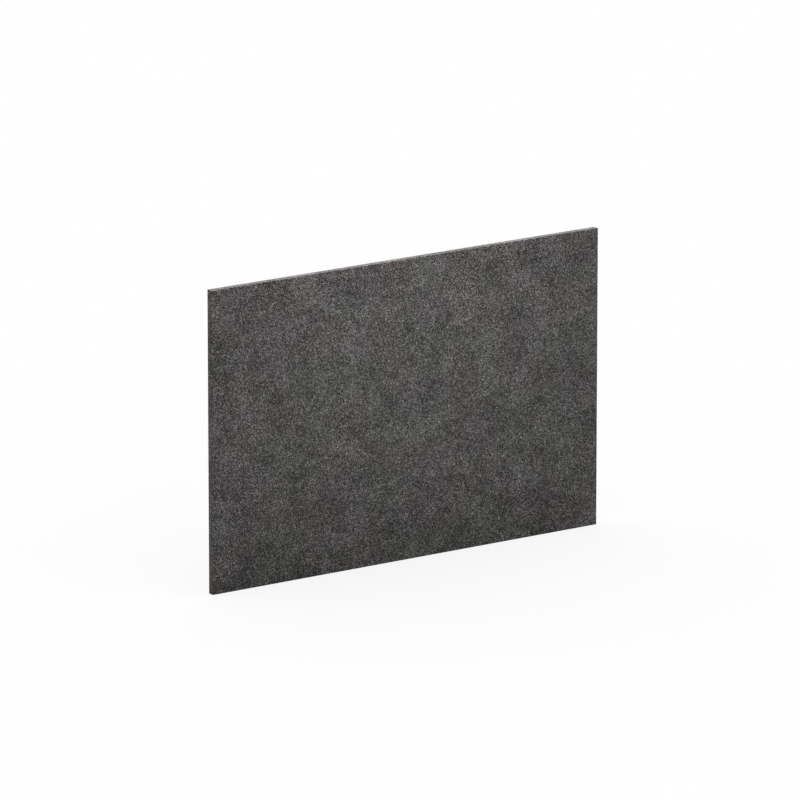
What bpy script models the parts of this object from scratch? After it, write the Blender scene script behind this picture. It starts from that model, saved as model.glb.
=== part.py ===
"""Felt-faced standing panel.

A dowelled plywood frame holds fleece pads in its bays. A felt sheet is glued on each face, and felt
strips are glued round the rim between the two sheets. Threaded inserts in the bottom rail take the
screws of a foot or a clamp.

Metres, +Z up. The origin is the middle of the bottom edge, X runs along the width, and Y runs
through the thickness, with the front face at -Y.
"""

import math

import bmesh
import bpy
from mathutils import Matrix, Vector

# Whole panel
WIDTH = 1.200
HEIGHT = 0.800
THICKNESS = 0.018

# Felt
FACE_FELT = 0.003  # sheet on the front and on the back
EDGE_FELT = 0.003  # strips round the rim

# Plywood frame
RAIL_HEIGHT = 0.060
STILE_WIDTH = 0.060
MULLION_WIDTH = 0.040
BAY_COUNT = 3

# Dowels, which sit in the middle of the plywood
WOOD_BESIDE_DOWEL = 0.0024
DOWEL_LENGTH = 0.040
DOWEL_CHAMFER = 0.0006
DOWELS_PER_CORNER = 2
DOWEL_FROM_RAIL_EDGE = 0.014

# Threaded inserts, two for each foot
WOOD_BESIDE_INSERT = 0.0019
INSERT_WALL = 0.0014
INSERT_LENGTH = 0.012
INSERT_GROOVE = 0.0004
SCREW_RUN_OUT = 0.008
FOOT_FROM_END = 0.150
SCREW_PITCH = 0.064

# Gaps and clearances
GLUE_GAP = 0.0003  # between pieces that are glued face to face
PAD_CLEARANCE = 0.0005  # round a pad in its bay
HOLE_CLEARANCE = 0.0003  # round a dowel or an insert in its hole
DOWEL_END_SPACE = 0.001  # past each end of a dowel
THROUGH = 0.002  # how far a drill passes the surface that it starts from

ROUND_SIDES = 16

# Worked out from the above
CORE_THICKNESS = THICKNESS - 2 * (FACE_FELT + GLUE_GAP)
CORE_HALF_WIDTH = WIDTH / 2 - EDGE_FELT - GLUE_GAP
CORE_BOTTOM = EDGE_FELT + GLUE_GAP
CORE_TOP = HEIGHT - EDGE_FELT - GLUE_GAP
STILE_INNER_X = CORE_HALF_WIDTH - STILE_WIDTH
RAIL_HALF_LENGTH = STILE_INNER_X - GLUE_GAP
BAY_BOTTOM = CORE_BOTTOM + RAIL_HEIGHT
BAY_TOP = CORE_TOP - RAIL_HEIGHT
BAY_WIDTH = (2 * STILE_INNER_X - (BAY_COUNT - 1) * MULLION_WIDTH) / BAY_COUNT
DOWEL_HOLE_RADIUS = CORE_THICKNESS / 2 - WOOD_BESIDE_DOWEL
INSERT_HOLE_RADIUS = CORE_THICKNESS / 2 - WOOD_BESIDE_INSERT


def clear_scene():
    for obj in list(bpy.data.objects):
        bpy.data.objects.remove(obj)


def finish(name, colour, roughness, metallic=0.0):
    """A Principled material in one colour."""
    material = bpy.data.materials.new(name)
    material.use_nodes = True
    shader = material.node_tree.nodes["Principled BSDF"]
    shader.inputs["Base Color"].default_value = (*colour, 1.0)
    shader.inputs["Roughness"].default_value = roughness
    shader.inputs["Metallic"].default_value = metallic
    material.diffuse_color = (*colour, 1.0)
    return material


def place(name, mesh, position, material=None, turn=None):
    """Put a mesh into the scene as one named piece of the panel."""
    piece = bpy.data.objects.new(name, mesh)
    bpy.context.scene.collection.objects.link(piece)
    piece.location = position
    if turn:
        piece.rotation_euler = turn
    if material:
        mesh.materials.append(material)
    piece.parent = bpy.data.objects["panel"]
    return piece


def board(name, low, high, material):
    """A flat rectangular piece between two opposite corners, with its origin at its middle."""
    low, high = Vector(low), Vector(high)
    mesh = bpy.data.meshes.new(name)
    shape = bmesh.new()
    bmesh.ops.create_cube(shape, size=1.0, matrix=Matrix.Diagonal((*(high - low), 1.0)))
    shape.to_mesh(mesh)
    shape.free()
    return place(name, mesh, (low + high) / 2, material)


def turned_mesh(name, profile, hollow=False):
    """A profile of (radius, height) points turned about Z. A hollow one closes on its first point."""
    angles = [2 * math.pi * side / ROUND_SIDES for side in range(ROUND_SIDES)]
    mesh = bpy.data.meshes.new(name)
    shape = bmesh.new()
    rings = [
        [shape.verts.new((radius * math.cos(a), radius * math.sin(a), height)) for a in angles]
        for radius, height in profile
    ]
    next_rings = rings[1:] + rings[:1] if hollow else rings[1:]
    for ring, following in zip(rings, next_rings):
        for side in range(ROUND_SIDES):
            after = (side + 1) % ROUND_SIDES
            shape.faces.new((ring[side], ring[after], following[after], following[side]))
    if not hollow:
        shape.faces.new(rings[0])
        shape.faces.new(rings[-1])
    bmesh.ops.recalc_face_normals(shape, faces=shape.faces)
    shape.to_mesh(mesh)
    shape.free()
    mesh.shade_smooth()
    mesh.set_sharp_from_angle(angle=math.radians(30))
    return mesh


def drill(name, radius, low_z, high_z, position, turn=None):
    """A round cutter, which isn't a piece of the panel."""
    mesh = turned_mesh(name, [(radius, low_z), (radius, high_z)])
    cutter = place(name, mesh, position, turn=turn)
    cutter.hide_render = True
    cutter.display_type = "WIRE"
    return cutter


def cut(piece, cutter):
    modifier = piece.modifiers.new(cutter.name, "BOOLEAN")
    modifier.operation = "DIFFERENCE"
    modifier.solver = "EXACT"
    modifier.object = cutter


def even_places(first, last, count):
    """Places spread evenly from the first to the last, or the middle one when there is only one."""
    if count == 1:
        return [(first + last) / 2]
    return [first + (last - first) * i / (count - 1) for i in range(count)]


def make_face_felts(felt):
    """The felt sheets, which cover the whole front and the whole back."""
    half = THICKNESS / 2
    for name, outer, inner in (
        ("front_felt", -half, FACE_FELT - half),
        ("back_felt", half - FACE_FELT, half),
    ):
        board(name, (-WIDTH / 2, outer, 0), (WIDTH / 2, inner, HEIGHT), felt)


def make_edge_felts(felt):
    """The rim's felt strips: the top and bottom ones run from corner to corner."""
    y = CORE_THICKNESS / 2
    x = WIDTH / 2
    board("edge_felt_top", (-x, -y, HEIGHT - EDGE_FELT), (x, y, HEIGHT), felt)
    board("edge_felt_bottom", (-x, -y, 0), (x, y, EDGE_FELT), felt)
    board("edge_felt_left", (-x, -y, CORE_BOTTOM), (EDGE_FELT - x, y, CORE_TOP), felt)
    board("edge_felt_right", (x - EDGE_FELT, -y, CORE_BOTTOM), (x, y, CORE_TOP), felt)


def make_frame(plywood):
    """The stiles run from bottom to top, and the rails stand between them."""
    y = CORE_THICKNESS / 2
    board("left_stile", (-CORE_HALF_WIDTH, -y, CORE_BOTTOM), (-STILE_INNER_X, y, CORE_TOP), plywood)
    board("right_stile", (STILE_INNER_X, -y, CORE_BOTTOM), (CORE_HALF_WIDTH, y, CORE_TOP), plywood)
    for name, low_z, high_z in (("bottom_rail", CORE_BOTTOM, BAY_BOTTOM), ("top_rail", BAY_TOP, CORE_TOP)):
        board(name, (-RAIL_HALF_LENGTH, -y, low_z), (RAIL_HALF_LENGTH, y, high_z), plywood)


def bay_left(bay):
    return -STILE_INNER_X + bay * (BAY_WIDTH + MULLION_WIDTH)


def make_mullions(plywood):
    """The upright bars between the bays."""
    y = CORE_THICKNESS / 2
    for bay in range(1, BAY_COUNT):
        x = bay_left(bay) - MULLION_WIDTH
        low = (x, -y, BAY_BOTTOM + GLUE_GAP)
        high = (x + MULLION_WIDTH, y, BAY_TOP - GLUE_GAP)
        board(f"mullion_{bay}", low, high, plywood)


def make_pads(fleece):
    """One sound-absorbing pad in each bay, as thick as the frame."""
    y = CORE_THICKNESS / 2
    for bay in range(BAY_COUNT):
        x = bay_left(bay)
        low = (x + PAD_CLEARANCE, -y, BAY_BOTTOM + PAD_CLEARANCE)
        high = (x + BAY_WIDTH - PAD_CLEARANCE, y, BAY_TOP - PAD_CLEARANCE)
        board(f"fleece_pad_{bay + 1}", low, high, fleece)


def join_with_dowel(label, middle, turn, pieces, mesh):
    """A dowel across a joint, in a hole drilled into both pieces."""
    place(f"dowel_{label}", mesh, middle, turn=turn)
    reach = DOWEL_LENGTH / 2 + DOWEL_END_SPACE
    cutter = drill(f"drill_dowel_{label}", DOWEL_HOLE_RADIUS, -reach, reach, middle, turn)
    for name in pieces:
        cut(bpy.data.objects[name], cutter)


def make_dowels(beech):
    radius = DOWEL_HOLE_RADIUS - HOLE_CLEARANCE
    half = DOWEL_LENGTH / 2
    tip = radius - DOWEL_CHAMFER
    profile = [(tip, -half), (radius, DOWEL_CHAMFER - half), (radius, half - DOWEL_CHAMFER), (tip, half)]
    mesh = turned_mesh("dowel", profile)
    mesh.materials.append(beech)
    along_x = (0, math.pi / 2, 0)
    upright = (0, 0, 0)

    for end, low_z, high_z in (("bottom", CORE_BOTTOM, BAY_BOTTOM), ("top", BAY_TOP, CORE_TOP)):
        heights = even_places(
            low_z + DOWEL_FROM_RAIL_EDGE, high_z - DOWEL_FROM_RAIL_EDGE, DOWELS_PER_CORNER
        )
        for side, sign in (("left", -1), ("right", 1)):
            for number, z in enumerate(heights, 1):
                middle = (sign * (STILE_INNER_X - GLUE_GAP / 2), 0, z)
                pieces = (f"{side}_stile", f"{end}_rail")
                join_with_dowel(f"{end}_{side}_{number}", middle, along_x, pieces, mesh)

    for bay in range(1, BAY_COUNT):
        x = bay_left(bay) - MULLION_WIDTH / 2
        for end, z in (("bottom", BAY_BOTTOM + GLUE_GAP / 2), ("top", BAY_TOP - GLUE_GAP / 2)):
            pieces = (f"mullion_{bay}", f"{end}_rail")
            join_with_dowel(f"mullion_{bay}_{end}", (x, 0, z), upright, pieces, mesh)


def make_inserts(brass):
    """Brass inserts, flush with the bottom rail and reached through holes in the felt strip below."""
    outer = INSERT_HOLE_RADIUS - HOLE_CLEARANCE
    bore = outer - INSERT_WALL
    waist = outer - INSERT_GROOVE
    third = INSERT_LENGTH / 3
    profile = [
        (bore, 0),
        (outer, 0),
        (outer, third),
        (waist, third + INSERT_GROOVE),
        (waist, 2 * third - INSERT_GROOVE),
        (outer, 2 * third),
        (outer, INSERT_LENGTH - INSERT_GROOVE),
        (waist, INSERT_LENGTH),
        (bore, INSERT_LENGTH),
    ]
    mesh = turned_mesh("insert", profile, hollow=True)
    mesh.materials.append(brass)
    depth = INSERT_LENGTH + SCREW_RUN_OUT
    for side, sign in (("left", -1), ("right", 1)):
        foot_x = sign * (WIDTH / 2 - FOOT_FROM_END)
        for number, x in enumerate((foot_x - SCREW_PITCH / 2, foot_x + SCREW_PITCH / 2), 1):
            seat = (x, 0, CORE_BOTTOM)
            place(f"insert_{side}_{number}", mesh, seat)
            low_z = -CORE_BOTTOM - THROUGH
            cutter = drill(f"drill_insert_{side}_{number}", INSERT_HOLE_RADIUS, low_z, depth, seat)
            cut(bpy.data.objects["bottom_rail"], cutter)
            cut(bpy.data.objects["edge_felt_bottom"], cutter)


def main():
    clear_scene()
    panel = bpy.data.objects.new("panel", None)
    bpy.context.scene.collection.objects.link(panel)

    felt = finish("charcoal_felt", (0.076, 0.073, 0.071), 0.95)
    plywood = finish("birch_plywood", (0.62, 0.46, 0.29), 0.65)
    fleece = finish("white_fleece", (0.66, 0.66, 0.63), 0.95)
    beech = finish("beech_dowel", (0.58, 0.37, 0.21), 0.6)
    brass = finish("brass", (0.72, 0.52, 0.22), 0.35, metallic=1.0)

    make_face_felts(felt)
    make_edge_felts(felt)
    make_frame(plywood)
    make_mullions(plywood)
    make_pads(fleece)
    make_dowels(beech)
    make_inserts(brass)


main()
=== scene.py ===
"""The looks of the felt-faced panel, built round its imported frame, in metres with +Z up."""
import math

import bmesh
import bpy
import numpy as np
from mathutils import Matrix, Vector, noise


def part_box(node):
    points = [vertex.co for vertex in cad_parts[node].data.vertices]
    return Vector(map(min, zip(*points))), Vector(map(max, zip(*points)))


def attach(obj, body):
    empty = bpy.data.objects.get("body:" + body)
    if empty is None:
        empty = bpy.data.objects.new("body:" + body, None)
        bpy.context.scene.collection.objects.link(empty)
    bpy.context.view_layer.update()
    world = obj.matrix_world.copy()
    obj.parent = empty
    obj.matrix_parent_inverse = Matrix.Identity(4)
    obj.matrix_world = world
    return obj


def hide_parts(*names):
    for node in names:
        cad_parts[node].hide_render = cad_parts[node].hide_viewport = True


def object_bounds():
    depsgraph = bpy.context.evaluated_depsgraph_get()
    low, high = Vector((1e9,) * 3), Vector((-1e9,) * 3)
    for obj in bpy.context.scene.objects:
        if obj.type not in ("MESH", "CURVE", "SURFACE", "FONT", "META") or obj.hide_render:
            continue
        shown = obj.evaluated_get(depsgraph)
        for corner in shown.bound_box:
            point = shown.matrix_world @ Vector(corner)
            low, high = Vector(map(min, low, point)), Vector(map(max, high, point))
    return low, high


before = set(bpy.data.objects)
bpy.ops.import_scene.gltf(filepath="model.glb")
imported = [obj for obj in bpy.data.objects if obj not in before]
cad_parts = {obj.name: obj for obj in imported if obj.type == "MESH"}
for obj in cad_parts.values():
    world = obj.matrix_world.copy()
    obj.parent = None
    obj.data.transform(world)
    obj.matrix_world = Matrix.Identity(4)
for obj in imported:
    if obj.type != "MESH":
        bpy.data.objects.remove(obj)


# --- Camera ---------------------------------------------------------------------------------------
# A long lens a good way off, to the left of the panel's front and a little above it, so that the
# front, the left edge and a sliver of the top edge are seen.

scene = bpy.context.scene
PANEL_LOW, PANEL_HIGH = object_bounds()
LENS_MM = 397.5
CAMERA_DISTANCE = 22.743
CAMERA_TURN = math.radians(34.186)  # from straight ahead, round to the panel's left
CAMERA_TILT = math.radians(14.75)  # looking down
AIM = Vector((-0.0229, PANEL_LOW[1], 0.4295))


def make_camera():
    data = bpy.data.cameras.new("camera")
    data.lens = LENS_MM
    data.sensor_width = 36
    data.clip_end = 400
    camera = bpy.data.objects.new("camera", data)
    look = Vector((
        math.sin(CAMERA_TURN) * math.cos(CAMERA_TILT),
        math.cos(CAMERA_TURN) * math.cos(CAMERA_TILT),
        -math.sin(CAMERA_TILT),
    ))
    camera.location = AIM - look * CAMERA_DISTANCE
    camera.rotation_euler = look.to_track_quat("-Z", "Y").to_euler()
    scene.collection.objects.link(camera)
    scene.camera = camera


make_camera()


# --- Studio ---------------------------------------------------------------------------------------
# A wide white floor under one broad overhead light, which stands a little behind the panel and to its
# right, with a softbox close in front. The floor looks white, with painted shade only near the panel.

FLOOR_SIDE = 300
FLOOR_DROP = 0.0004  # keeps the floor clear of the felt that stands on it
FLOOR_BOUNCE = 0.31  # how much light the floor throws back onto the panel
FLOOR_WHITE = 0.997  # how bright it looks in the open
FLOOR_PAINTED_SHADE = 0.17  # how much of that the painted shade takes away where the floor is fully shaded
PAINTED_SHADE_REACH = 2.0  # how far off a thing can be and still darken the floor with painted shade
SKY_STRENGTH = 0.02
SKY_WHITE = 1.02  # how bright the sky looks behind the panel
OVERHEAD_STRENGTH = 8.5
OVERHEAD_SPREAD = math.radians(80)
OVERHEAD_LEAN = math.radians(15)  # towards the back
OVERHEAD_SIDE = math.radians(12)  # towards the right
SOFTBOX_SIZE = 0.8
SOFTBOX_POWER = 5.0
SOFTBOX_PLACE = Vector((-0.02, -0.85, 0.95))
SOFTBOX_AIM = Vector((-0.02, 0.0, 0.45))


def node(tree, kind, inputs=None, **settings):
    """A new node, with its settings made and its inputs set or linked."""
    made = tree.nodes.new(kind)
    for name, value in settings.items():
        setattr(made, name, value)
    for key, value in (inputs or {}).items():
        if isinstance(value, bpy.types.NodeSocket):
            tree.links.new(value, made.inputs[key])
        else:
            made.inputs[key].default_value = value
    return made


def maths(tree, operation, *values):
    return node(tree, "ShaderNodeMath", dict(enumerate(values)), operation=operation).outputs[0]


def vector_maths(tree, operation, vector, other):
    """Two vectors put together or, for SCALE, a vector and a number."""
    inputs = {0: vector, "Scale" if operation == "SCALE" else 1: other}
    return node(tree, "ShaderNodeVectorMath", inputs, operation=operation).outputs[0]


def empty_tree(owner):
    """The node tree of a material or a world, with nothing in it but its output."""
    owner.use_nodes = True
    tree = owner.node_tree
    tree.nodes.clear()
    kind = "ShaderNodeOutputWorld" if isinstance(owner, bpy.types.World) else "ShaderNodeOutputMaterial"
    return tree, tree.nodes.new(kind)


def make_floor():
    half = FLOOR_SIDE / 2
    corners = [(-half, -half), (half, -half), (half, half), (-half, half)]
    mesh = bpy.data.meshes.new("floor")
    mesh.from_pydata([(x, y, PANEL_LOW[2] - FLOOR_DROP) for x, y in corners], [], [(0, 1, 2, 3)])
    floor = bpy.data.objects.new("floor", mesh)
    scene.collection.objects.link(floor)

    material = bpy.data.materials.new("white_floor")
    tree, output = empty_tree(material)
    bounce = node(tree, "ShaderNodeBsdfDiffuse", {"Color": (*[FLOOR_BOUNCE] * 3, 1)})
    # Painted shade: the camera sees the floor as a glow, and ambient occlusion darkens that glow near the
    # panel. Other rays meet a plain diffuse floor.
    openness = node(tree, "ShaderNodeAmbientOcclusion", {"Distance": PAINTED_SHADE_REACH}, samples=16)
    painted_shade_brightness = maths(
        tree, "MULTIPLY_ADD", openness.outputs["AO"], FLOOR_PAINTED_SHADE, FLOOR_WHITE - FLOOR_PAINTED_SHADE,
    )
    seen = node(tree, "ShaderNodeEmission", {"Strength": painted_shade_brightness})
    ray = node(tree, "ShaderNodeLightPath")
    mix = node(tree, "ShaderNodeMixShader", {
        0: ray.outputs["Is Camera Ray"], 1: bounce.outputs[0], 2: seen.outputs[0],
    })
    tree.links.new(mix.outputs[0], output.inputs["Surface"])
    mesh.materials.append(material)


def make_surroundings():
    world = bpy.data.worlds.new("studio")
    tree, output = empty_tree(world)
    dim = node(tree, "ShaderNodeBackground", {"Strength": SKY_STRENGTH})
    white = node(tree, "ShaderNodeBackground", {"Strength": SKY_WHITE})
    ray = node(tree, "ShaderNodeLightPath")
    mix = node(tree, "ShaderNodeMixShader", {
        0: ray.outputs["Is Camera Ray"], 1: dim.outputs[0], 2: white.outputs[0],
    })
    for background in (dim, white):
        background.inputs["Color"].default_value = (1, 1, 1, 1)
    tree.links.new(mix.outputs[0], output.inputs["Surface"])
    scene.world = world
    scene.view_settings.view_transform = "Standard"


def make_lights():
    overhead = bpy.data.lights.new("overhead", "SUN")
    overhead.energy = OVERHEAD_STRENGTH
    overhead.angle = OVERHEAD_SPREAD
    lamp = bpy.data.objects.new("overhead", overhead)
    lamp.rotation_euler = (-OVERHEAD_LEAN, OVERHEAD_SIDE, 0)
    scene.collection.objects.link(lamp)

    front = bpy.data.lights.new("softbox", "AREA")
    front.energy = SOFTBOX_POWER
    front.size = SOFTBOX_SIZE
    softbox = bpy.data.objects.new("softbox", front)
    softbox.location = SOFTBOX_PLACE
    softbox.rotation_euler = (SOFTBOX_AIM - SOFTBOX_PLACE).to_track_quat("-Z", "Y").to_euler()
    scene.collection.objects.link(softbox)


make_floor()
make_surroundings()
make_lights()


# --- Plywood frame --------------------------------------------------------------------------------
# Stiles, rails and mullions are strips of birch plywood, sanded and left bare. Each is cut with its
# face grain along its length, and its thin plies show along its edges.

PLY_THICKNESS = 0.00127
GRAIN_ACROSS = 260.0  # streaks per metre across the grain
GRAIN_ALONG = 7.0
BIRCH_PALE = (0.66, 0.50, 0.33, 1)
BIRCH_DARK = (0.50, 0.34, 0.19, 1)
CROSS_PLY = (0.40, 0.25, 0.13, 1)


def noise_value(tree, coordinates, scale, detail=2.0, roughness=0.5, shift=0.0, distortion=0.0):
    """Noise from about 0 to 1. The shift moves it, so that no two layers match, and distortion curls it."""
    if shift:
        coordinates = vector_maths(tree, "ADD", coordinates, (shift, shift * 1.7, shift * 0.6))
    made = node(tree, "ShaderNodeTexNoise", {
        "Vector": coordinates, "Scale": scale, "Detail": detail, "Roughness": roughness,
        "Distortion": distortion,
    })
    return made.outputs["Fac"]


def mixed(tree, share, first, second):
    """One colour mixed into another."""
    made = node(tree, "ShaderNodeMix", {0: share, 6: first, 7: second}, data_type="RGBA")
    return made.outputs[2]


def birch_plywood(name, along):
    """Plywood whose face grain runs along one axis, with plies stacked through its thickness."""
    material = bpy.data.materials.new(name)
    tree, output = empty_tree(material)
    place = node(tree, "ShaderNodeTexCoord").outputs["Object"]
    stretch = [GRAIN_ACROSS] * 3
    stretch[along] = GRAIN_ALONG
    grain_place = node(tree, "ShaderNodeMapping", {"Vector": place, "Scale": stretch}).outputs[0]
    grain = noise_value(tree, grain_place, 1.0, 5.0, 0.6)
    figure = noise_value(tree, grain_place, 0.13, 2.0, 0.5, shift=3.1)
    tone = maths(tree, "MULTIPLY_ADD", figure, 1.2, maths(tree, "MULTIPLY_ADD", grain, 0.8, -0.5))
    face = mixed(tree, tone, BIRCH_PALE, BIRCH_DARK)

    depth = node(tree, "ShaderNodeSeparateXYZ", {0: place}).outputs["Y"]
    ply = maths(tree, "PINGPONG", depth, PLY_THICKNESS)
    cross = maths(tree, "GREATER_THAN", ply, PLY_THICKNESS / 2)
    edge = mixed(tree, cross, face, mixed(tree, tone, CROSS_PLY, BIRCH_DARK))
    facing = node(tree, "ShaderNodeNewGeometry").outputs["Normal"]
    front = node(tree, "ShaderNodeSeparateXYZ", {0: facing}).outputs["Y"]
    on_face = maths(tree, "GREATER_THAN", maths(tree, "ABSOLUTE", front), 0.7)
    colour = mixed(tree, on_face, edge, face)

    bump = node(tree, "ShaderNodeBump", {"Strength": 0.3, "Distance": 0.0002, "Height": grain})
    roughness = maths(tree, "MULTIPLY_ADD", grain, 0.2, 0.5)
    shader = node(tree, "ShaderNodeBsdfPrincipled", {
        "Base Color": colour, "Roughness": roughness, "Normal": bump.outputs[0],
    })
    tree.links.new(shader.outputs[0], output.inputs["Surface"])
    return material


def dress(cad_piece, material):
    """Give a CAD piece whose shape is right its real material."""
    cad_piece.data.materials.clear()
    cad_piece.data.materials.append(material)


def make_frame():
    level = birch_plywood("birch_plywood_level", along=0)
    upright = birch_plywood("birch_plywood_upright", along=2)
    for name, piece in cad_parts.items():
        if name.endswith("_rail"):
            dress(piece, level)
        elif name.endswith("_stile") or name.startswith("mullion"):
            dress(piece, upright)


make_frame()


# --- Dowels ---------------------------------------------------------------------------------------
# Fluted beech pins, glued across each joint of the frame. The flutes let glue and air out of the
# blind holes.

FLUTES = 12
FLUTE_DEPTH = 0.00022
POINTS_PER_FLUTE = 4
DOWEL_TIP = 0.0012  # length of each tapered end
TIP_RADIUS_SHARE = 0.86  # how wide the tip is left
TIP_FLUTE_SHARE = 0.3  # how deep its flutes are left
CREASE = math.radians(40)  # edges sharper than this stay crisp
BEECH_PALE = (0.56, 0.37, 0.22, 1)
BEECH_DARK = (0.38, 0.22, 0.12, 1)


def beech(name):
    material = bpy.data.materials.new(name)
    tree, output = empty_tree(material)
    place = node(tree, "ShaderNodeTexCoord").outputs["Object"]
    fibre = noise_value(tree, place, 900.0, 4.0, 0.6)
    rays = noise_value(tree, place, 2600.0, 2.0, 0.5, shift=1.3)
    flecks = maths(tree, "GREATER_THAN", rays, 0.62)
    colour = mixed(tree, fibre, BEECH_PALE, BEECH_DARK)
    colour = mixed(tree, maths(tree, "MULTIPLY", flecks, 0.4), colour, BEECH_DARK)
    bump = node(tree, "ShaderNodeBump", {"Strength": 0.25, "Distance": 0.0001, "Height": fibre})
    shader = node(tree, "ShaderNodeBsdfPrincipled", {
        "Base Color": colour, "Roughness": 0.55, "Normal": bump.outputs[0],
    })
    tree.links.new(shader.outputs[0], output.inputs["Surface"])
    return material


def show(name, mesh, material, replaced):
    """Put a finished mesh on the panel, in place of the CAD piece that it stands for."""
    mesh.materials.clear()
    mesh.materials.append(material)
    piece = bpy.data.objects.new(name, mesh)
    scene.collection.objects.link(piece)
    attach(piece, "root")
    if replaced:
        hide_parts(replaced)
    return piece


def closed_mesh(name, points, faces, sharp):
    """A smooth-shaded mesh whose faces all point outwards. Edges over the sharp angle stay crisp."""
    mesh = bpy.data.meshes.new(name)
    mesh.from_pydata(points, [], faces)
    shape = bmesh.new()
    shape.from_mesh(mesh)
    bmesh.ops.recalc_face_normals(shape, faces=shape.faces)
    shape.to_mesh(mesh)
    shape.free()
    mesh.shade_smooth()
    mesh.set_sharp_from_angle(angle=sharp)
    return mesh


def rings_mesh(name, rings, closed=False):
    """A skin over rings of equally many points. A closed one joins its last ring to its first."""
    count = len(rings[0])
    points = [point for ring in rings for point in ring]
    following = list(range(1, len(rings))) + ([0] if closed else [])
    faces = [
        (a * count + i, a * count + (i + 1) % count, b * count + (i + 1) % count, b * count + i)
        for a, b in enumerate(following)
        for i in range(count)
    ]
    if not closed:
        faces.append(tuple(range(count)))
        faces.append(tuple(range(len(points) - count, len(points))))
    return closed_mesh(name, points, faces, CREASE)


def fluted_pin(name, low, high):
    """A dowel that fills its CAD piece's box, with its axis along the box's longest side."""
    size = high - low
    along = max(range(3), key=lambda axis: size[axis])
    across = [axis for axis in range(3) if axis != along]
    middle = (low + high) / 2
    radius, half = min(size) / 2, size[along] / 2
    count = FLUTES * POINTS_PER_FLUTE
    rings = []
    tip, full = (TIP_RADIUS_SHARE, TIP_FLUTE_SHARE), (1.0, 1.0)
    for place, (shrink, depth) in (
        (-half, tip), (DOWEL_TIP - half, full), (half - DOWEL_TIP, full), (half, tip),
    ):
        ring = []
        for i in range(count):
            angle = 2 * math.pi * i / count
            flute = FLUTE_DEPTH * depth * (0.5 - 0.5 * math.cos(FLUTES * angle))
            point = middle.copy()
            point[along] += place
            point[across[0]] += (radius * shrink - flute) * math.cos(angle)
            point[across[1]] += (radius * shrink - flute) * math.sin(angle)
            ring.append(point)
        rings.append(ring)
    return rings_mesh(name, rings)


def make_dowels():
    material = beech("beech")
    for name in sorted(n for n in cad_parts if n.startswith("dowel_")):
        mesh = fluted_pin(f"fluted_{name}", *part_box(name))
        show(f"fluted_{name}", mesh, material, name)


make_dowels()


# --- Threaded inserts -----------------------------------------------------------------------------
# Turned brass sleeves with an M5 thread inside and two knurled bands outside, pressed into the
# bottom rail flush with its edge. A foot's or a clamp's screws go into them.

INSERT_POINTS = 60
THREAD_PITCH = 0.0008
THREAD_DEPTH = 0.0004
THREAD_STEPS_PER_TURN = 4
THREAD_LEAD_IN = 0.0003  # how much wider the bore is at its ends
KNURL_DEPTH = 0.00018
KNURL_BANDS = ((0.04, 0.36), (0.64, 0.96))  # as shares of the length
KNURL_RAMP = 0.03  # share of the length over which a band rises
WAIST_DEPTH = 0.0004  # how far the sleeve is turned down between its bands
RIM_DEPTH = 0.0005
INSERT_BORE = 0.0021  # radius at the thread's crest
BRASS_BRIGHT = (0.80, 0.60, 0.27, 1)
BRASS_DULL = (0.52, 0.36, 0.14, 1)


def turned_brass(name):
    material = bpy.data.materials.new(name)
    tree, output = empty_tree(material)
    place = node(tree, "ShaderNodeTexCoord").outputs["Object"]
    squeeze = node(tree, "ShaderNodeMapping", {"Vector": place, "Scale": (40, 40, 6000)}).outputs[0]
    lathe_marks = noise_value(tree, squeeze, 1.0, 2.0, 0.5)
    stain = noise_value(tree, place, 300.0, 3.0, 0.6, shift=0.7)
    colour = mixed(tree, stain, BRASS_BRIGHT, BRASS_DULL)
    bump = node(tree, "ShaderNodeBump", {"Strength": 0.2, "Distance": 0.00005, "Height": lathe_marks})
    roughness = maths(tree, "MULTIPLY_ADD", stain, 0.3, 0.18)
    shader = node(tree, "ShaderNodeBsdfPrincipled", {
        "Base Color": colour, "Roughness": roughness, "Metallic": 1.0, "Normal": bump.outputs[0],
    })
    tree.links.new(shader.outputs[0], output.inputs["Surface"])
    return material


def knurled_sleeve(name, low, high):
    """A sleeve that fills its CAD piece's box: down the outside, then up the threaded bore."""
    middle = (low + high) / 2
    outer = (high.x - low.x) / 2
    length = high.z - low.z
    profile = [(1.0, "rim")]
    for start, end in reversed(KNURL_BANDS):
        profile += [
            (end, "waist"), (end - KNURL_RAMP, "knurl"), (start + KNURL_RAMP, "knurl"), (start, "waist"),
        ]
    profile.append((0.0, "rim"))
    rings = []
    for share, kind in profile:
        ring = []
        for i in range(INSERT_POINTS):
            angle = 2 * math.pi * i / INSERT_POINTS
            drop = {"rim": RIM_DEPTH, "waist": WAIST_DEPTH, "knurl": KNURL_DEPTH * (i % 2)}[kind]
            ring.append((
                middle.x + (outer - drop) * math.cos(angle),
                middle.y + (outer - drop) * math.sin(angle),
                low.z + share * length,
            ))
        rings.append(ring)
    steps = round(length / THREAD_PITCH) * THREAD_STEPS_PER_TURN
    for step in range(steps + 1):
        ring = []
        for i in range(INSERT_POINTS):
            turn = i / INSERT_POINTS
            wave = (step / THREAD_STEPS_PER_TURN + turn) % 1.0
            fade = min(1.0, step / THREAD_STEPS_PER_TURN, (steps - step) / THREAD_STEPS_PER_TURN)
            groove = THREAD_DEPTH * (1 - abs(2 * wave - 1)) * fade
            radius = INSERT_BORE + groove + THREAD_LEAD_IN * (1 - fade)
            angle = 2 * math.pi * turn
            ring.append((
                middle.x + radius * math.cos(angle),
                middle.y + radius * math.sin(angle),
                low.z + length * step / steps,
            ))
        rings.append(ring)
    return rings_mesh(name, rings, closed=True)


def make_inserts():
    material = turned_brass("turned_brass")
    for name in sorted(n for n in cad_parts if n.startswith("insert_")):
        mesh = knurled_sleeve(f"threaded_{name}", *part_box(name))
        show(f"threaded_{name}", mesh, material, name)


make_inserts()


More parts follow.
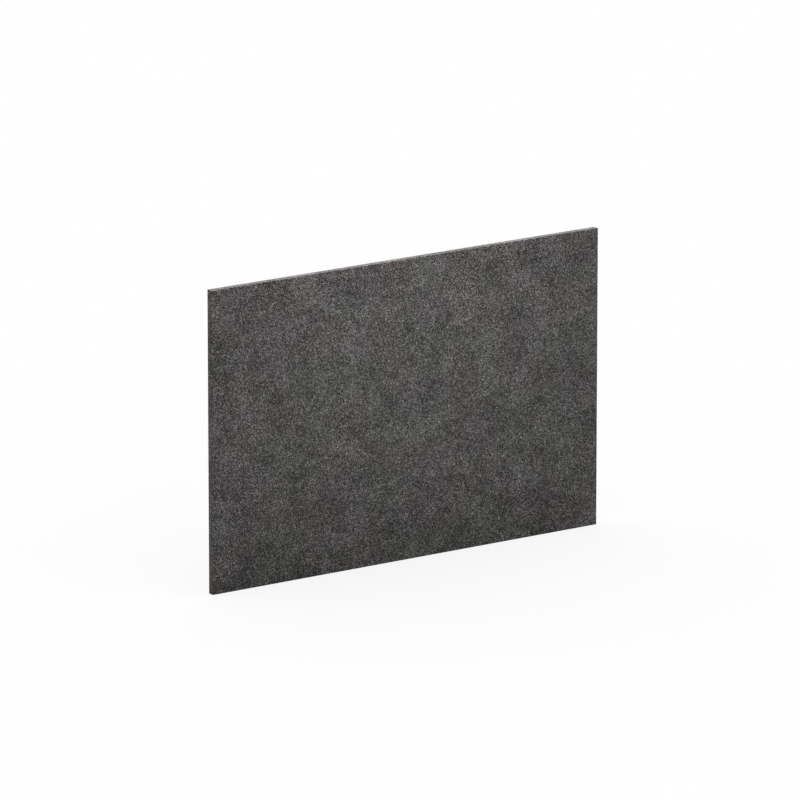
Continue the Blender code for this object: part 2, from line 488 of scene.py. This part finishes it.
# --- Fleece pads ----------------------------------------------------------------------------------
# White polyester wadding, cut from a mat and laid loose in the three bays of the frame, where it
# takes up sound. Its rim is rounded and its faces are uneven, and it nearly fills its bay.

FLEECE_CELL = 1 / 120
FLEECE_RIM = 0.005  # how far in from the rim the rounding starts
FLEECE_THIN = 0.0008  # thickness left at the rim
FLEECE_UNEVEN = 0.0012  # how deep its faces dip
FLEECE_DIPS = 30  # dips per metre
FLEECE_CREASE = math.radians(60)
FLEECE_WHITE = (0.80, 0.80, 0.78, 1)
FLEECE_GREY = (0.55, 0.55, 0.54, 1)


def fleece(name):
    material = bpy.data.materials.new(name)
    tree, output = empty_tree(material)
    place = node(tree, "ShaderNodeTexCoord").outputs["Object"]
    hairs = noise_value(tree, place, 330.0, 3.0, 0.65, distortion=2.0)
    tufts = noise_value(tree, place, 60.0, 3.0, 0.6, shift=5.9)
    shade = maths(tree, "MULTIPLY_ADD", hairs, 0.7, maths(tree, "MULTIPLY", tufts, 0.5))
    colour = mixed(tree, shade, FLEECE_GREY, FLEECE_WHITE)
    bump = node(tree, "ShaderNodeBump", {"Strength": 0.7, "Distance": 0.001, "Height": shade})
    shader = node(tree, "ShaderNodeBsdfPrincipled", {
        "Base Color": colour, "Roughness": 0.95, "Normal": bump.outputs[0],
        "Specular IOR Level": 0.2, "Sheen Weight": 0.3, "Sheen Roughness": 0.5,
    })
    tree.links.new(shader.outputs[0], output.inputs["Surface"])
    return material


def soft_steps(low, high, rim, cell):
    """Places from low to high, close together near the rims and about a cell apart between them."""
    near = [0.0, rim * 0.1, rim * 0.4, rim]
    inner = max(1, round((high - low - 2 * rim) / cell))
    middle = np.linspace(low + rim, high - rim, inner + 1)[1:-1]
    return [low + n for n in near] + [float(m) for m in middle] + [high - n for n in reversed(near)]


def rounded_drop(distance, rim):
    """How far a rounded rim has fallen below the face, at a distance in from the edge."""
    short = max(0.0, rim - distance)
    return rim - math.sqrt(max(0.0, rim ** 2 - short ** 2))


def unevenness(place):
    """Broad lumps with smaller ones on them, from 0 to 1."""
    return min(max(0.5 + 0.5 * noise.fractal(place, 0.8, 2.0, 3), 0.0), 1.0)


def grid_edge(rows, columns):
    """The places along the edge of a grid, once round it in order."""
    last_row, last_column = rows - 1, columns - 1
    there = [(i, 0) for i in range(last_row)] + [(last_row, j) for j in range(last_column)]
    back = [(i, last_column) for i in range(last_row, 0, -1)] + [(0, j) for j in range(last_column, 0, -1)]
    return there + back


def wadding(name, low, high):
    """Two uneven faces and the thin rim that they round off to, inside the box from low to high."""
    xs = soft_steps(low.x, high.x, FLEECE_RIM, FLEECE_CELL)
    zs = soft_steps(low.z, high.z, FLEECE_RIM, FLEECE_CELL)
    middle, half = (low.y + high.y) / 2, (high.y - low.y) / 2
    points, faces, number = [], [], {}
    for side in (-1, 1):
        for i, x in enumerate(xs):
            for j, z in enumerate(zs):
                distance = min(x - xs[0], xs[-1] - x, z - zs[0], zs[-1] - z)
                dip = unevenness(Vector((x, side, z)) * FLEECE_DIPS)
                rise = half * (1 - rounded_drop(distance, FLEECE_RIM) / FLEECE_RIM)
                rise = max(FLEECE_THIN / 2, rise - FLEECE_UNEVEN * dip)
                number[side, (i, j)] = len(points)
                points.append((x, middle + side * rise, z))
        for i in range(len(xs) - 1):
            for j in range(len(zs) - 1):
                corners = ((i, j), (i + 1, j), (i + 1, j + 1), (i, j + 1))
                faces.append([number[side, corner] for corner in corners])
    rim = grid_edge(len(xs), len(zs))
    for here, there in zip(rim, rim[1:] + rim[:1]):
        faces.append([number[-1, here], number[-1, there], number[1, there], number[1, here]])
    return closed_mesh(name, points, faces, FLEECE_CREASE)


def make_fleece():
    material = fleece("polyester_fleece")
    for name in sorted(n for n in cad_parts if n.startswith("fleece_pad_")):
        piece = show(f"soft_{name}", wadding(f"soft_{name}", *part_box(name)), material, name)


make_fleece()


# --- Felt sheets and strips -----------------------------------------------------------------------
# Three-millimetre needle felt of mixed charcoal, grey and pale fibres, glued on as a sheet over each
# face and a strip along each side of the rim. It is slightly uneven, with soft cut edges, and single
# loose fibres lie on its two faces.

FELT_CELL = 1 / 300  # spacing of the points on a sheet's outer face
FELT_SOFT_EDGE = 0.0003  # radius of a cut edge
FELT_UNEVEN = 0.00016  # height of the broad lumps
FELT_LUMPS = 28  # broad lumps per metre
FELT_GRAINY = 0.00010  # height of the small ones
FELT_GRAINS = 160  # small ones per metre
FELT_CREASE = math.radians(50)
FELT_GREEN = (0.0980, 0.1008, 0.0935, 1)
FELT_VIOLET = (0.1055, 0.0970, 0.1010, 1)
FELT_BROWN = (0.1075, 0.0985, 0.0895, 1)
FELT_BRIGHTNESS = 0.42
DISPLAY_CURVE = 2.4  # turns tones that look evenly spaced into amounts of light
DARKEST_TONE = 0.25  # keeps the darkest clumps from going black
PUNCH_POINTS = 40
PUNCH_LENGTH = 0.02
FIBRES_PER_SQUARE_METRE = 3000
FIBRE_LONGEST = 0.03
FIBRE_THICKNESS = 0.00045
FIBRE_POINTS = 7
FIBRE_SWIRLS = 70  # waves per metre
FIBRE_SWIRL = 0.022  # how far a swirl can shift a strand
FIBRE_LIFT = 0.0003  # a strand's middle above the face
FIBRE_SINK = 0.0004  # its ends below the face
FIBRE_SHORTEST = 0.4  # share of the longest
FIBRE_TAPER = 0.4  # thickness left at a strand's ends
FIBRE_SIDES = 3
FIBRE_MARGIN = 0.018  # bare strip that keeps strands from hanging over the sheet's edge
FIBRES_DARK = 0.25  # share of the strands that are dark
FIBRE_BLACK = (0.022, 0.021, 0.021, 1)
FIBRE_PALE = (0.42, 0.41, 0.39, 1)


def strands(tree, place, scale, width, shift, broken=0.5):
    """Winding threads: thin lines where a noise passes its middle, broken up by another."""
    path = noise_value(tree, place, scale, 1.5, 0.5, shift)
    away = maths(tree, "ABSOLUTE", maths(tree, "SUBTRACT", path, 0.5))
    line = node(tree, "ShaderNodeMapRange", {
        "Value": away, "From Min": 0.0, "From Max": width, "To Min": 1.0, "To Max": 0.0,
    }, interpolation_type="SMOOTHSTEP").outputs[0]
    gaps = noise_value(tree, place, scale * 0.8, 1.0, 0.5, shift + 5.3)
    kept = node(tree, "ShaderNodeMapRange", {
        "Value": gaps, "From Min": broken - 0.05, "From Max": broken + 0.05, "To Min": 0.0, "To Max": 1.0,
    }).outputs[0]
    return maths(tree, "MULTIPLY", line, kept)


def weighted_sum(tree, terms):
    """The sum of (value, weight, middle) terms, each counted from its middle."""
    total = 0.0
    for value, weight, middle in terms:
        total = maths(tree, "MULTIPLY_ADD", maths(tree, "SUBTRACT", value, middle), weight, total)
    return total


def broad_zones(tree, value):
    """Noise spread out into zones with soft borders, from 0 to 1."""
    return node(tree, "ShaderNodeMapRange", {
        "Value": value, "From Min": 0.36, "From Max": 0.64, "To Min": 0.0, "To Max": 1.0,
    }, interpolation_type="SMOOTHSTEP").outputs[0]


def melange_felt(name):
    material = bpy.data.materials.new(name)
    tree, output = empty_tree(material)
    place = node(tree, "ShaderNodeTexCoord").outputs["Object"]

    curls = noise_value(tree, place, 520.0, 1.0, 0.5, shift=4.3, distortion=1.4)
    tufts = noise_value(tree, place, 150.0, 2.0, 0.8)
    clumps = noise_value(tree, place, 45.0, 2.0, 0.6, shift=2.1)
    drift = noise_value(tree, place, 12.0, 3.0, 0.6, shift=7.7)
    pale = strands(tree, place, 105.0, 0.03, 11.9)
    pale_fine = strands(tree, place, 250.0, 0.05, 17.3, broken=0.46)
    dark = strands(tree, place, 85.0, 0.02, 23.1, broken=0.58)
    dark_fine = strands(tree, place, 270.0, 0.045, 29.7)
    tone = weighted_sum(tree, (
        (curls, 19.5, 0.5), (tufts, 2.4, 0.5), (clumps, 1.2, 0.5), (drift, 2.7, 0.5),
        (pale, 0.75, 0.12), (pale_fine, 0.9, 0.2), (dark, -0.8, 0.05), (dark_fine, -0.5, 0.15),
    ))
    lifted = maths(tree, "MULTIPLY_ADD", tone, 1 / DISPLAY_CURVE, 1.0)
    lifted = maths(tree, "MAXIMUM", lifted, DARKEST_TONE)
    strength = maths(tree, "MULTIPLY", maths(tree, "POWER", lifted, DISPLAY_CURVE), FELT_BRIGHTNESS)

    warmth = noise_value(tree, place, 6.5, 1.0, 0.4, shift=31.0)
    brownness = noise_value(tree, place, 9.0, 1.0, 0.4, shift=37.0)
    tint = mixed(tree, broad_zones(tree, warmth), FELT_GREEN, FELT_VIOLET)
    tint = mixed(tree, maths(tree, "MULTIPLY", broad_zones(tree, brownness), 0.6), tint, FELT_BROWN)
    scaled = vector_maths(tree, "SCALE", tint, strength)

    relief = weighted_sum(tree, ((tufts, 1.0, 0.0), (pale, 0.3, 0.0), (pale_fine, 0.2, 0.0)))
    bump = node(tree, "ShaderNodeBump", {"Strength": 0.5, "Distance": 0.0006, "Height": relief})
    shader = node(tree, "ShaderNodeBsdfPrincipled", {
        "Base Color": scaled, "Roughness": 0.95, "Normal": bump.outputs[0],
        "Specular IOR Level": 0.15, "Sheen Weight": 0.08, "Sheen Roughness": 0.6,
    })
    tree.links.new(shader.outputs[0], output.inputs["Surface"])
    return material


def lumps(point):
    """How far the felt's surface stands in from its full thickness at a point."""
    small = 0.5 + 0.5 * noise.noise(Vector(point) * FELT_GRAINS)
    return FELT_UNEVEN * unevenness(Vector(point) * FELT_LUMPS) + FELT_GRAINY * min(max(small, 0), 1)


def felt_piece(name, low, high, outward):
    """A flat piece of felt that fills the box from low to high. Its outer face looks along outward."""
    out_axis = max(range(3), key=lambda axis: abs(outward[axis]))
    sign = 1 if outward[out_axis] > 0 else -1
    u_axis, v_axis = [axis for axis in range(3) if axis != out_axis]
    outer = high[out_axis] if sign > 0 else low[out_axis]
    inner = low[out_axis] if sign > 0 else high[out_axis]
    us = soft_steps(low[u_axis], high[u_axis], FELT_SOFT_EDGE, FELT_CELL)
    vs = soft_steps(low[v_axis], high[v_axis], FELT_SOFT_EDGE, FELT_CELL)
    u_drop = [rounded_drop(min(u - us[0], us[-1] - u), FELT_SOFT_EDGE) for u in us]
    v_drop = [rounded_drop(min(v - vs[0], vs[-1] - v), FELT_SOFT_EDGE) for v in vs]
    points, faces = [], []
    for i, u in enumerate(us):
        for j, v in enumerate(vs):
            point = [0.0, 0.0, 0.0]
            point[u_axis], point[v_axis], point[out_axis] = u, v, outer
            point[out_axis] -= sign * (max(u_drop[i], v_drop[j]) + lumps(point))
            points.append(point)
    rows, columns = len(us), len(vs)
    for i in range(rows - 1):
        for j in range(columns - 1):
            a = i * columns + j
            faces.append((a, a + columns, a + columns + 1, a + 1))

    rim = grid_edge(rows, columns)
    above = [i * columns + j for i, j in rim]
    for depth in (0.5, 1.0):
        below = []
        for i, j in rim:
            point = list(points[i * columns + j])
            point[out_axis] += (inner - point[out_axis]) * depth
            below.append(len(points))
            points.append(point)
        for k in range(len(rim)):
            n = (k + 1) % len(rim)
            faces.append((above[k], above[n], below[n], below[k]))
        above = below
    faces.append(tuple(above))
    return closed_mesh(name, points, faces, FELT_CREASE)


def punched(mesh, holes):
    """The mesh with round holes cut up through it. Each hole is its centre and its radius."""
    board = bpy.data.objects.new("to_punch", mesh)
    scene.collection.objects.link(board)
    tools = []
    for centre, radius in holes:
        shape = bmesh.new()
        bmesh.ops.create_cone(
            shape, cap_ends=True, segments=PUNCH_POINTS, radius1=radius, radius2=radius, depth=PUNCH_LENGTH,
            matrix=Matrix.Translation(centre),
        )
        tool_mesh = bpy.data.meshes.new("punch")
        shape.to_mesh(tool_mesh)
        shape.free()
        tool = bpy.data.objects.new("punch", tool_mesh)
        scene.collection.objects.link(tool)
        cut = board.modifiers.new("punch", "BOOLEAN")
        cut.operation = "DIFFERENCE"
        cut.object = tool
        tools.append(tool)
    evaluated = board.evaluated_get(bpy.context.evaluated_depsgraph_get())
    result = bpy.data.meshes.new_from_object(evaluated)
    for spare in [board, *tools]:
        bpy.data.objects.remove(spare)
    return result


def wool(name):
    """Single fibres, from near black to pale grey. Each fibre has one shade all along it."""
    material = bpy.data.materials.new(name)
    tree, output = empty_tree(material)
    shade = node(tree, "ShaderNodeAttribute", attribute_name="shade").outputs["Fac"]
    pale = node(tree, "ShaderNodeMapRange", {
        "Value": shade, "From Min": FIBRES_DARK, "From Max": 1.0, "To Min": 0.1, "To Max": 1.0,
    }).outputs[0]
    is_pale = maths(tree, "GREATER_THAN", shade, FIBRES_DARK)
    colour = mixed(tree, maths(tree, "MULTIPLY", pale, is_pale), FIBRE_BLACK, FIBRE_PALE)
    shader = node(tree, "ShaderNodeBsdfPrincipled", {
        "Base Color": colour, "Roughness": 0.9, "Specular IOR Level": 0.2,
        "Sheen Weight": 0.1, "Sheen Roughness": 0.5,
    })
    tree.links.new(shader.outputs[0], output.inputs["Surface"])
    return material


def random_number(tree, low, high, seed):
    made = node(tree, "FunctionNodeRandomValue", {2: low, 3: high, "Seed": seed}, data_type="FLOAT")
    return made.outputs[1]


def fibre_tree():
    """Strands strewn over a flat face: each is turned at random, bent by a swirl, and dips in at its ends."""
    tree = bpy.data.node_groups.new("loose_fibres", "GeometryNodeTree")
    for name, kind in (
        ("Face", "Geometry"), ("Outward", "Vector"), ("Per square metre", "Float"), ("Longest", "Float"),
        ("Thickness", "Float"), ("Swirl", "Float"), ("Lift", "Float"), ("Sink", "Float"),
        ("Seed", "Int"), ("Wool", "Material"),
    ):
        tree.interface.new_socket(name, in_out="INPUT", socket_type=f"NodeSocket{kind}")
    tree.interface.new_socket("Fibres", in_out="OUTPUT", socket_type="NodeSocketGeometry")
    given = node(tree, "NodeGroupInput").outputs

    spots = node(tree, "GeometryNodeDistributePointsOnFaces", {
        "Mesh": given["Face"], "Density": given["Per square metre"], "Seed": given["Seed"],
    })
    shaded = node(tree, "GeometryNodeStoreNamedAttribute", {
        "Geometry": spots.outputs["Points"], "Name": "shade", "Value": random_number(tree, 0.0, 1.0, 1),
    }, data_type="FLOAT", domain="POINT")
    half = maths(tree, "MULTIPLY", given["Longest"], 0.5)
    reach = node(tree, "ShaderNodeCombineXYZ", {"X": half}).outputs[0]
    back = vector_maths(tree, "SCALE", reach, -1.0)
    line = node(tree, "GeometryNodeCurvePrimitiveLine", {"Start": back, "End": reach})
    strand = node(tree, "GeometryNodeResampleCurve", {"Curve": line.outputs[0], "Count": FIBRE_POINTS})
    shorter = node(tree, "ShaderNodeCombineXYZ", {
        "X": random_number(tree, FIBRE_SHORTEST, 1.0, 2), "Y": 1.0, "Z": 1.0,
    })
    laid = node(tree, "GeometryNodeInstanceOnPoints", {
        "Points": shaded.outputs[0], "Instance": strand.outputs[0],
        "Rotation": spots.outputs["Rotation"], "Scale": shorter.outputs[0],
    })
    angle = node(tree, "ShaderNodeCombineXYZ", {"Z": random_number(tree, 0.0, 2 * math.pi, 3)})
    turned = node(tree, "GeometryNodeRotateInstances", {
        "Instances": laid.outputs[0], "Rotation": angle.outputs[0],
    })
    single = node(tree, "GeometryNodeRealizeInstances", {"Geometry": turned.outputs[0]})

    place = node(tree, "GeometryNodeInputPosition").outputs[0]
    swirl = node(tree, "ShaderNodeTexNoise", {"Vector": place, "Scale": FIBRE_SWIRLS, "Detail": 1.0})
    centred = vector_maths(tree, "SUBTRACT", swirl.outputs["Color"], (0.5, 0.5, 0.5))
    off_face = vector_maths(tree, "PROJECT", centred, given["Outward"])
    in_face = vector_maths(tree, "SUBTRACT", centred, off_face)
    bend = vector_maths(tree, "SCALE", in_face, given["Swirl"])
    along = node(tree, "GeometryNodeSplineParameter").outputs["Factor"]
    arch = maths(tree, "SINE", maths(tree, "MULTIPLY", along, math.pi))
    rise = maths(tree, "ADD", given["Lift"], given["Sink"])
    height = maths(tree, "SUBTRACT", maths(tree, "MULTIPLY", arch, rise), given["Sink"])
    lift = vector_maths(tree, "SCALE", given["Outward"], height)
    offset = vector_maths(tree, "ADD", bend, lift)
    bent = node(tree, "GeometryNodeSetPosition", {"Geometry": single.outputs[0], "Offset": offset})

    radius = maths(tree, "MULTIPLY", given["Thickness"], 0.5)
    round_end = node(tree, "GeometryNodeCurvePrimitiveCircle", {
        "Resolution": FIBRE_SIDES, "Radius": radius,
    })
    taper = maths(tree, "MULTIPLY_ADD", arch, 1 - FIBRE_TAPER, FIBRE_TAPER)
    tubes = node(tree, "GeometryNodeCurveToMesh", {
        "Curve": bent.outputs[0], "Profile Curve": round_end.outputs[0], "Scale": taper, "Fill Caps": True,
    })
    smooth = node(tree, "GeometryNodeSetShadeSmooth", {"Geometry": tubes.outputs[0]})
    finished = node(tree, "GeometryNodeSetMaterial", {
        "Geometry": smooth.outputs[0], "Material": given["Wool"],
    })
    node(tree, "NodeGroupOutput", {"Fibres": finished.outputs[0]})
    return tree


def strew_fibres(name, tree, low, high, outward, seed, material):
    """Loose fibres over the outer face of a sheet that fills the box from low to high."""
    x0, x1 = low.x + FIBRE_MARGIN, high.x - FIBRE_MARGIN
    z0, z1 = low.z + FIBRE_MARGIN, high.z - FIBRE_MARGIN
    y = low.y if outward[1] < 0 else high.y
    corners = [(x0, y, z0), (x1, y, z0), (x1, y, z1), (x0, y, z1)]
    order = (0, 1, 2, 3) if outward[1] < 0 else (3, 2, 1, 0)
    face = bpy.data.meshes.new("face")
    face.from_pydata(corners, [], [order])
    host = bpy.data.objects.new("face", face)
    scene.collection.objects.link(host)
    modifier = host.modifiers.new("fibres", "NODES")
    modifier.node_group = tree
    named = {item.name: item.identifier for item in tree.interface.items_tree if item.in_out == "INPUT"}
    for key, value in {
        "Outward": outward, "Per square metre": FIBRES_PER_SQUARE_METRE, "Longest": FIBRE_LONGEST,
        "Thickness": FIBRE_THICKNESS, "Swirl": FIBRE_SWIRL, "Lift": FIBRE_LIFT, "Sink": FIBRE_SINK,
        "Seed": seed, "Wool": material,
    }.items():
        modifier[named[key]] = value
    evaluated = host.evaluated_get(bpy.context.evaluated_depsgraph_get())
    mesh = bpy.data.meshes.new_from_object(evaluated)
    bpy.data.objects.remove(host)
    mesh.name = name
    return show(name, mesh, material, None)


def make_felts():
    felt = melange_felt("melange_felt")
    loose_wool = wool("loose_wool")
    tree = fibre_tree()
    frame_pieces = [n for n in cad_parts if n.endswith(("_rail", "_stile")) or n.startswith("mullion_")]
    sides = (
        ("front_felt", (0, -1, 0), frame_pieces),
        ("back_felt", (0, 1, 0), frame_pieces),
        ("edge_felt_top", (0, 0, 1), ["top_rail", "left_stile", "right_stile"]),
        ("edge_felt_bottom", (0, 0, -1), ["bottom_rail", "left_stile", "right_stile"]),
        ("edge_felt_left", (-1, 0, 0), ["left_stile"]),
        ("edge_felt_right", (1, 0, 0), ["right_stile"]),
    )
    for seed, (name, outward, glued_to) in enumerate(sides, 1):
        low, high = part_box(name)
        mesh = felt_piece(f"melange_{name}", low, high, outward)
        if name == "edge_felt_bottom":
            inserts = [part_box(n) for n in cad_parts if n.startswith("insert_")]
            mesh = punched(mesh, [
                (Vector(((a.x + b.x) / 2, (a.y + b.y) / 2, low.z)), (b.x - a.x) / 2) for a, b in inserts
            ])
        piece = show(f"melange_{name}", mesh, felt, name)
        fibres = []
        if name in ("front_felt", "back_felt"):
            fibres = [strew_fibres(f"fibres_{name}", tree, low, high, outward, seed, loose_wool)]


make_felts()
